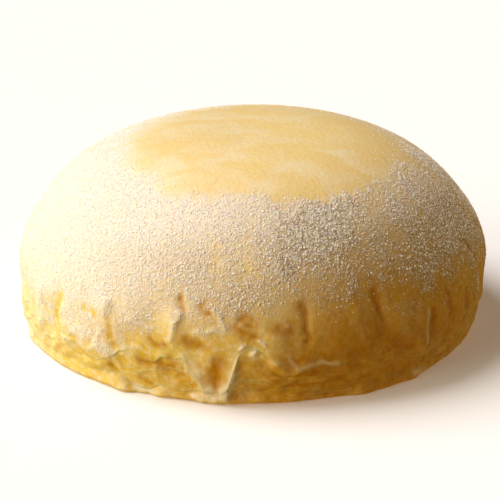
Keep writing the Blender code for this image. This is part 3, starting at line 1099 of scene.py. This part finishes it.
def moist_face(tree, ground):
    """The ground colour with deep wet hollows, creamy ridges and soft mottles between them. The dark in the
    hollows is partly painted shade and the cream on the ridges partly painted highlight, both paler towards
    the lit left.
    """
    mottles = tree.noise(5, 3, (1, 1, 0.7), 0.4)
    pale = tree.mark("pale")
    hollow = tree.mark("hollow")
    dark = tree.mix(pale, AMBER, GOLD)
    face = tree.mix(tree.between(mottles, 0.50, 0.34) * (0.6 - 0.35 * pale), ground, dark)
    face = tree.mix(tree.between(mottles, 0.50, 0.66) * (0.05 + 0.75 * pale), face, EDGE)
    # partly painted shade in the hollows and partly painted highlight on the ridges
    face = tree.mix(tree.between(hollow, 0.0, 0.9) * (0.85 - 0.45 * pale), face, dark)
    face = tree.mix(tree.between(hollow, 0.0, -0.9) * (0.1 + 0.6 * pale), face, EDGE)
    fine = tree.noise(1.9, 3)
    face = tree.mix(tree.between(fine, 0.49, 0.36) * (0.35 + 0.2 * pale), face, dark)
    face = tree.mix(tree.between(fine, 0.52, 0.64) * (0.12 + 0.48 * pale), face, CREAMY)
    cloud = tree.noise(8, 3, (1, 1, 0.6))
    return tree.mix(tree.between(cloud, 0.50, 0.62) * (1 - pale) * 0.3, face, TAN)


def marked(tree, face):
    """Wet hollows, cream and clumps of sugar on a face, with painted light and painted shade: the wet
    hollows are painted lighter gold where lit and amber in shade, the right side below the shoulder is
    painted browner as shade, and the far left creamier as a painted highlight.
    """
    left = tree.left()
    # painted light: the wet hollows are lighter gold towards the lit left
    gold_where_lit = tree.between(left, 0.3, 0.75)
    # painted shade: brown on the right side, 48 to 60 mm up
    away = tree.between(left, 0.0, -0.35) * tree.between(left, -0.95, -0.65)
    face = tree.mix(away * tree.between(tree.along("Z"), 60 * MM, 48 * MM) * 0.3, face, BROWN)
    face = tree.mix(tree.mark("wet") * 0.85, face, tree.mix(gold_where_lit, AMBER, GOLD))
    # painted highlight: creamy at the far left, where the light falls
    face = tree.mix(tree.between(left, 0.72, 0.93) * 0.55, face, CREAMY)
    face = tree.mix(tree.mark("cream") * 0.9, face, CREAMY)
    return tree.mix(tree.mark("clump") * 0.85, face, WHITE)


def cover_ground(tree, height, left):
    """The cover under its sugar: bare and pale on the top, moist and mottled low on the side. The top is
    painted paler towards the lit left, the darker low side reaches higher on the shaded right as painted
    shade, and valleys and the tongue's hollow are painted deeper, partly wet crepe and partly painted
    shade.
    """
    # painted shade: on the shaded right the darker low colour reaches higher
    shaded = tree.between(left, -0.05, -0.5)
    low = 1 - tree.between(height - 16 * MM * shaded, 14 * MM, 44 * MM)
    mottles = tree.noise(16, 3, (1, 1.6, 1), 0.6)
    small = tree.noise(5, 3)
    # painted light: the bare top is paler towards the left
    bare = tree.mix(tree.between(mottles + 0.25 * (small - 0.5) + 0.14 * left, 0.32, 0.80), YELLOW, PALE)
    wet = tree.between(tree.noise(6, 2) + 0.2 * low, 0.45, 0.75)
    pale = tree.mark("pale")
    upper = tree.between(height + 6 * MM * (small - 0.5), 17 * MM, 33 * MM)
    deeper = tree.mix(pale, tree.mix(upper, DEEP, MOIST), BUTTER)
    side = tree.mix(wet, tree.mix(pale, MOIST, STRAW), deeper)
    # partly painted shade: deeper colour in the valleys and in the tongue's hollow
    side = tree.mix(tree.mark("valley_wet_and_shade") * (0.7 - 0.5 * pale), side, DEEP)
    side = tree.mix(tree.mark("pocket") * 0.4, side, AMBER)
    side = moist_face(tree, side)
    # the pale hem edge, painted brighter towards the lit left
    side = tree.mix(tree.mark("rim") * (0.1 + 0.6 * pale), side, EDGE)
    return marked(tree, tree.mix(low, bare, side))


def painted_grains(tree, size, sugar, most):
    """Round grains of a size in millimetres. Most is the share that shows where the sugar is thickest."""
    values = {"Vector": tree.place(), "Scale": 1 / (size * MM)}
    away = tree.node("ShaderNodeTexVoronoi", {}, values, "Distance")
    lot = Link(tree, away.socket.node.outputs["Color"])
    chance = tree.node("ShaderNodeSeparateColor", {}, {"Color": lot}, "Red")
    return (1 - tree.between(away, 0.05, 0.55)) * tree.between(most * sugar - chance, 0.0, 0.2)


def cover_finish():
    """The sugar on the cover: a haze, and grains and clots on it that grow rougher in the heap. The haze
    carries painted light and shade: lighter where lit, darker on the shaded right, greyer in the heap,
    which is partly its own painted shade, with painted shade between the clots.
    """
    material, tree, shader = finish("crepe_sugared")
    height = tree.along("Z")
    left = tree.left()
    ground = cover_ground(tree, height, left)
    sugar = tree.mark("sugar")
    small = painted_grains(tree, 0.8, sugar, 1.15)
    large = painted_grains(tree, 1.3, sugar, 0.8)
    white = tree.node("ShaderNodeMath", {"operation": "MAXIMUM"}, {0: small, 1: large})
    # painted light: the haze is lighter at the left and on the top
    lit = tree.between(left + 0.4 * tree.between(height, 48 * MM, 62 * MM), -0.05, 0.7)
    front = tree.between(tree.along("Y") * (-1 / BELLY_R), 0.0, 0.35)
    # the heap: thick sugar on the front right, painted greyer, partly as painted shade
    heap = tree.between(sugar, 0.72, 0.95) * tree.between(left, -0.03, -0.18)
    heap = heap * tree.between(left, -0.75, -0.5) * front
    # painted shade on the right below the shoulder
    right_shading = tree.between(left, -0.16, -0.42) * tree.between(height, 62 * MM, 52 * MM)
    right_shading = right_shading * (0.15 + 0.85 * front)
    haze = tree.mix(right_shading, tree.mix(lit, HAZE, LIT_HAZE), SHADE_ON_RIGHT)
    haze = tree.mix(heap, haze, SHADE)
    face = tree.mix(tree.between(sugar, 0.0, 0.9) * (0.8 + 0.15 * lit), ground, haze)
    face = tree.mix(white * 0.95, face, WHITE)
    # painted shade between the clots of the heap; the darker grit thins out where lit
    clot = tree.noise(1.7, 2)
    grit = tree.between(sugar, 0.15, 0.6) * (1 - 0.75 * lit)
    face = tree.mix(tree.between(clot, 0.50, 0.38) * heap * 0.6, face, SHADE_BETWEEN_CLOTS)
    face = tree.mix(tree.between(clot, 0.50, 0.38) * (1 - heap) * grit * 0.4, face, TAN)
    face = tree.mix(tree.between(clot, 0.50, 0.62) * (0.3 * grit + 0.4 * heap), face, WHITE)
    crinkle = tree.noise(1.8, 3, (1, 1, 0.8))
    soft = tree.bump(crinkle, 0.25)
    grains = (small * 0.6 + large) * (1 - 0.7 * lit + 0.6 * heap)
    clots = 2.5 * clot * tree.between(heap + 0.35 * grit, 0, 1)
    rough = tree.bump(grains + clots, 0.42, soft)
    dress(tree, shader, Base_Color=face, Roughness=0.38 + 0.4 * sugar, Normal=rough, **SOFT)
    return material


def layer_finish(name):
    """A moist crepe edge: one colour on its face, a deeper one in its hollows, pale at its edges. The
    hollows are partly painted shade, brown streaks on the shaded right are partly painted shade, and the
    edges are painted brighter towards the lit left.
    """
    material, tree, shader = finish(name)
    patches = tree.between(tree.noise(5, 3), 0.38, 0.62)
    pale = tree.mark("pale")
    face = tree.mix(patches, tree.mix(pale, MOIST, STRAW), tree.mix(pale, DEEP, BUTTER))
    face = moist_face(tree, face)
    # partly painted shade: brown streaks only on the right, away from the light
    streaks = tree.noise(8, 2, (1, 1, 2.5), 1.0)
    face = tree.mix(tree.between(streaks, 0.48, 0.36) * (1 - pale) * 0.35, face, BROWN)
    face = marked(tree, face)
    # pale edges, painted brighter towards the lit left
    face = tree.mix(tree.mark("rim") * (0.1 + 0.35 * pale), face, EDGE)
    crinkle = tree.noise(1.5, 3)
    crinkled = tree.bump(crinkle, 0.22)
    dress(tree, shader, Base_Color=face, Roughness=0.3 + 0.2 * patches, Normal=crinkled, **SOFT)
    return material


def put_on(body, material):
    body.data.materials.clear()
    body.data.materials.append(material)


put_on(cover, cover_finish())
moist = layer_finish("crepe_moist")
put_on(second, moist)
put_on(third, moist)
put_on(stack, layer_finish("crepe_foot"))
print(len(bpy.data.materials), "finishes")

# %% [markdown]
# ## Grains of sugar
#
# Powdered sugar that has drawn a little moisture clumps into grains of about half a millimetre. There are
# two kinds: a fine one with four faces, and a coarse one that is a rough ball of twenty. One grain of each
# is modelled, and a node group scatters it over the cover: more points where there is more sugar, each copy
# with its own turn and size. The faces are put in order first, so that the grains fall on the same spots in
# each run. The copies are made real, as one mesh for each kind.

# %% Scatter sugar
def grain(size, segments, rings):
    """A grain that is a rough ball."""
    deselect()
    bpy.ops.mesh.primitive_uv_sphere_add(segments=segments, ring_count=rings, radius=size / 2)
    return bpy.context.object


def shard(size):
    """A grain with four faces."""
    deselect()
    bpy.ops.mesh.primitive_cone_add(vertices=3, radius1=0.47 * size, radius2=0, depth=0.67 * size)
    return bpy.context.object


def glowing_sugar_finish():
    material, tree, shader = finish("sugar")
    shade = tree.mix(tree.noise(1.2, 1), colour(0.95, 0.91, 0.84), colour(0.92, 0.85, 0.73))
    dress(tree, shader, Base_Color=shade, Roughness=0.55)
    dress(tree, shader, Subsurface_Weight=1.0, Subsurface_Radius=(1.0, 0.9, 0.7), Subsurface_Scale=0.0012)
    # painted light: the grains glow a little, so that their shaded sides look lit
    dress(tree, shader, Emission_Color=colour(1, 0.88, 0.72), Emission_Strength=0.07)
    return material


def scatter(name, kind, material, density, apart, sizes, sink, least, seed):
    """Copies of one grain on the cover, up to density for a square metre, where sugar is over least."""
    deselect()
    ground = cover.copy()
    ground.data = cover.data.copy()
    ground.name = name
    ground.data.name = name
    bpy.context.collection.objects.link(ground)
    group = bpy.data.node_groups.new(name, "GeometryNodeTree")
    group.interface.new_socket("Surface", in_out="INPUT", socket_type="NodeSocketGeometry")
    group.interface.new_socket("Grains", in_out="OUTPUT", socket_type="NodeSocketGeometry")
    tree = Tree(group)
    surface = tree.node("NodeGroupInput", {}, {})
    number = {"data_type": "FLOAT"}
    order = tree.node("GeometryNodeInputNamedAttribute", number, {"Name": "order"}, "Attribute")
    listed = {"Geometry": surface, "Sort Weight": order}
    surface = tree.node("GeometryNodeSortElements", {"domain": "FACE"}, listed)
    sugar = tree.node("GeometryNodeInputNamedAttribute", number, {"Name": "sugar"}, "Attribute")
    share = sugar * tree.between(sugar, least, least + 0.5)
    spread = {"Mesh": surface, "Distance Min": apart, "Density Max": density}
    spread.update({"Density Factor": share, "Seed": seed})
    poisson = {"distribute_method": "POISSON"}
    points = tree.node("GeometryNodeDistributePointsOnFaces", poisson, spread, "Points")
    outward = Link(tree, points.socket.node.outputs["Normal"])
    shift = tree.node("ShaderNodeVectorMath", {"operation": "SCALE"}, {0: outward, "Scale": -sink})
    points = tree.node("GeometryNodeSetPosition", {}, {"Geometry": points, "Offset": shift})
    piece = tree.node("GeometryNodeObjectInfo", {}, {"Object": kind}, "Geometry")
    turned = {"Max": (math.tau, math.tau, math.tau), "Seed": seed + 1}
    turn = tree.node("FunctionNodeRandomValue", {"data_type": "FLOAT_VECTOR"}, turned)
    sized = {"Min_001": sizes[0], "Max_001": sizes[1], "Seed": seed + 2}
    size = tree.node("FunctionNodeRandomValue", number, sized, "Value_001")
    copies = {"Points": points, "Instance": piece, "Rotation": turn, "Scale": size}
    copies = tree.node("GeometryNodeInstanceOnPoints", {}, copies)
    made = tree.node("GeometryNodeRealizeInstances", {}, {"Geometry": copies})
    made = tree.node("GeometryNodeSetMaterial", {}, {"Geometry": made, "Material": material})
    output = group.nodes.new("NodeGroupOutput")
    group.links.new(made.socket, output.inputs[0])
    modifier = ground.modifiers.new(name, "NODES")
    modifier.node_group = group
    bpy.context.view_layer.objects.active = ground
    ground.select_set(True)
    bpy.ops.object.modifier_apply(modifier=modifier.name)
    put_on(ground, material)
    bpy.data.objects.remove(kind)
    print_triangles(ground)
    return ground


white = glowing_sugar_finish()
fine = scatter(
    "sugar_fine", shard(0.65 * MM), white, density=3_400_000, apart=0.33 * MM,
    sizes=(0.7, 1.2), sink=0.05 * MM, least=-0.4, seed=5,
)
coarse = scatter(
    "sugar_coarse", grain(0.8 * MM, 5, 3), white, density=620_000, apart=0.8 * MM,
    sizes=(0.6, 1.3), sink=0.1 * MM, least=0.2, seed=9,
)

# %% [markdown]
# ## What moves with what
#
# The cake is one body. Each finer crepe stands for its solid, and the grains ride along.

# %% Ride, replace, slot
STANDS_FOR = (
    (cover, "crepe_cover", "crepe_sugared"),
    (second, "crepe_second", "crepe_moist"),
    (third, "crepe_third", "crepe_moist"),
    (stack, "crepe_stack", "crepe_foot"),
)
for body, node, slot in STANDS_FOR:
    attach(body, "root")
    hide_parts(node)
    print(f"{body.name} replaces {node}")
for grains in (fine, coarse):
    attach(grains, "root")

# %% [markdown]
# ## Camera
#
# The picture was taken from the front with a long lens, a little above the cake.

# %% Camera
LENS = 133.2
CAMERA_AT = (-0.5 * MM, -675.2 * MM, 276.7 * MM)
CAMERA_TILT = 69.57
bpy.ops.object.camera_add(location=CAMERA_AT, rotation=(math.radians(CAMERA_TILT), 0, 0))
camera = bpy.context.object
camera.data.lens = LENS
bpy.context.scene.camera = camera
print(f"the camera is {camera.location.length / MM:.0f} mm away")

# %% [markdown]
# ## Light and floor
#
# Daylight comes through a low window at the left and a high one a little behind it, so the left side is
# almost white and the right side falls into a warm shade. Warm light comes back from below, more of it at
# the left. The floor is plain and pale.

# %% Light and floor
bpy.ops.mesh.primitive_plane_add(size=6, location=(0, 0, 0))
floor = bpy.context.object
floor.name = "floor"
plain, tree, shader = finish("floor")
dress(tree, shader, Base_Color=colour(0.94, 0.95, 1.0), Roughness=0.9, Emission_Color=colour(1, 1, 1))
dress(tree, shader, Emission_Strength=0.08)
put_on(floor, plain)
floor.visible_diffuse = False
floor.visible_glossy = False

WINDOWS = (
    ("low_window", -153, 14, 2.2, 56, (1.0, 0.87, 0.66)),
    ("high_window", -200, 50, 3.1, 44, (1.0, 0.96, 0.92)),
)
FROM_ABOVE = colour(0.14, 0.09, 0.05)
FROM_RIGHT = colour(0.50, 0.35, 0.12)
FROM_BELOW_RIGHT = colour(0.32, 0.155, 0.023)
FROM_BELOW_LEFT = colour(0.88, 0.62, 0.10)
for name, towards, high, energy, size, tint in WINDOWS:
    turn = (math.radians(90 - high), 0, math.radians(towards + 90))
    bpy.ops.object.light_add(type="SUN", rotation=turn)
    light = bpy.context.object
    light.name = name
    light.data.energy = energy
    light.data.angle = math.radians(size)
    light.data.color = tint
    print(f"{name}: {high} degrees up")

world = bpy.data.worlds.new("studio")
bpy.context.scene.world = world
world.use_nodes = True
tree = Tree(world.node_tree)
toward = tree.node("ShaderNodeTexCoord", {}, {}, "Generated")
upward = tree.along("Z", toward)
rightward = tree.along("X", toward)
below = tree.mix(tree.between(rightward, 0.3, -0.6), FROM_BELOW_RIGHT, FROM_BELOW_LEFT)
sky = tree.mix(tree.between(upward, 0.05, -0.2), FROM_ABOVE, below)
sky = tree.mix(tree.between(rightward, 0.3, 1.0), sky, FROM_RIGHT)
world.node_tree.links.new(sky.socket, world.node_tree.nodes["Background"].inputs["Color"])
bpy.context.scene.view_settings.view_transform = "Standard"
